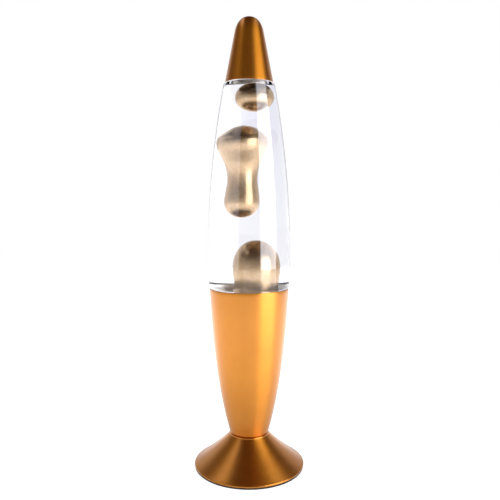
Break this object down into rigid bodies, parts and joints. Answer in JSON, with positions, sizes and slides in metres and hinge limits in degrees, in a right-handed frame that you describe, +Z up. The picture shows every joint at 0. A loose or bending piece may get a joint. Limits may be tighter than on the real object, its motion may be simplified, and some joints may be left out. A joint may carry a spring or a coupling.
{
  "type": "lava lamp",
  "caption": "Lava lamp: a spun metal base with a reflector bulb, a liquid-filled glass bottle of metallic wax standing in it, and a bullet-shaped cap over its neck.",
  "frame": {"origin": "on the surface that the lamp stands on, on the lamp's axis", "axes": "+Z up along the lamp's axis; +Y towards the back, where the cord gland leaves the foot; +X to the right"},
  "size_m": [0.1048, 0.1048, 0.4201],
  "materials": {
    "gold_shell": "satin, orange-gold anodised over the outside, bare spun aluminium inside",
    "clear_glass": "clear blown glass",
    "clear_liquid": "clear water-based liquid",
    "metallic_wax": "soft wax with fine champagne-gold metallic pigment",
    "black_plastic": "moulded, fine texture",
    "white_insulator": "moulded steatite-like insulator and liner",
    "black_rubber": "soft foam rubber",
    "zinc_steel": "zinc plated",
    "tinplate": "bare tinplate",
    "nickel_cap": "nickel-plated brass, rolled",
    "brass_contact": "bare, lightly tarnished",
    "filament_wire": "bare tungsten wire"
  },
  "bodies": {
    "base": {"anti_slip_pad": "black_rubber", "base_cover": "black_plastic", "foot": "gold_shell", "base_shell": "gold_shell", "cord_gland": "black_plastic", "threaded_tube": "zinc_steel", "foot_lock_washer": "zinc_steel", "foot_nut": "zinc_steel", "neck_washer": "zinc_steel", "neck_nut": "zinc_steel", "holder_dome": "black_plastic", "holder_body": "black_plastic", "holder_core": "white_insulator", "holder_screw_contact": "brass_contact", "holder_centre_contact": "brass_contact", "terminal_screw_left": "brass_contact", "terminal_screw_right": "brass_contact"},
    "bulb": {"bulb_envelope": "clear_glass", "bulb_screw_cap": "nickel_cap", "bulb_insulator": "black_plastic", "bulb_tip_contact": "brass_contact", "bulb_stem": "clear_glass", "bulb_lead_left": "filament_wire", "bulb_lead_right": "filament_wire", "bulb_filament": "filament_wire"},
    "bottle": {"glass_bottle": "clear_glass", "crown_closure": "tinplate", "crown_liner": "white_insulator", "lamp_liquid": "clear_liquid", "wax_pool": "metallic_wax", "coil_spring": "zinc_steel"},
    "wax_middle": {"wax_blob_middle": "metallic_wax"},
    "wax_upper": {"wax_blob_upper": "metallic_wax"},
    "cap": {"cap": "gold_shell"}
  },
  "joints": [
    {"name": "bulb_screw", "type": "hinge", "parent": "base", "child": "bulb", "pos_m": [0, 0, 0.08], "axis": [0, 0, 1], "range_deg": [0, 360]},
    {"name": "bottle_lift", "type": "slide", "parent": "base", "child": "bottle", "axis": [0, 0, 1], "range_m": [0, 0.06]},
    {"name": "cap_lift", "type": "slide", "parent": "bottle", "child": "cap", "axis": [0, 0, 1], "range_m": [0, 0.07]},
    {"name": "wax_middle_drift", "type": "slide", "parent": "bottle", "child": "wax_middle", "axis": [0, 0, 1], "range_m": [-0.016, 0.005], "deforming": ["lamp_liquid"]},
    {"name": "wax_upper_drift", "type": "slide", "parent": "bottle", "child": "wax_upper", "axis": [0, 0, 1], "range_m": [-0.005, 0.002], "deforming": ["lamp_liquid"]}
  ]
}
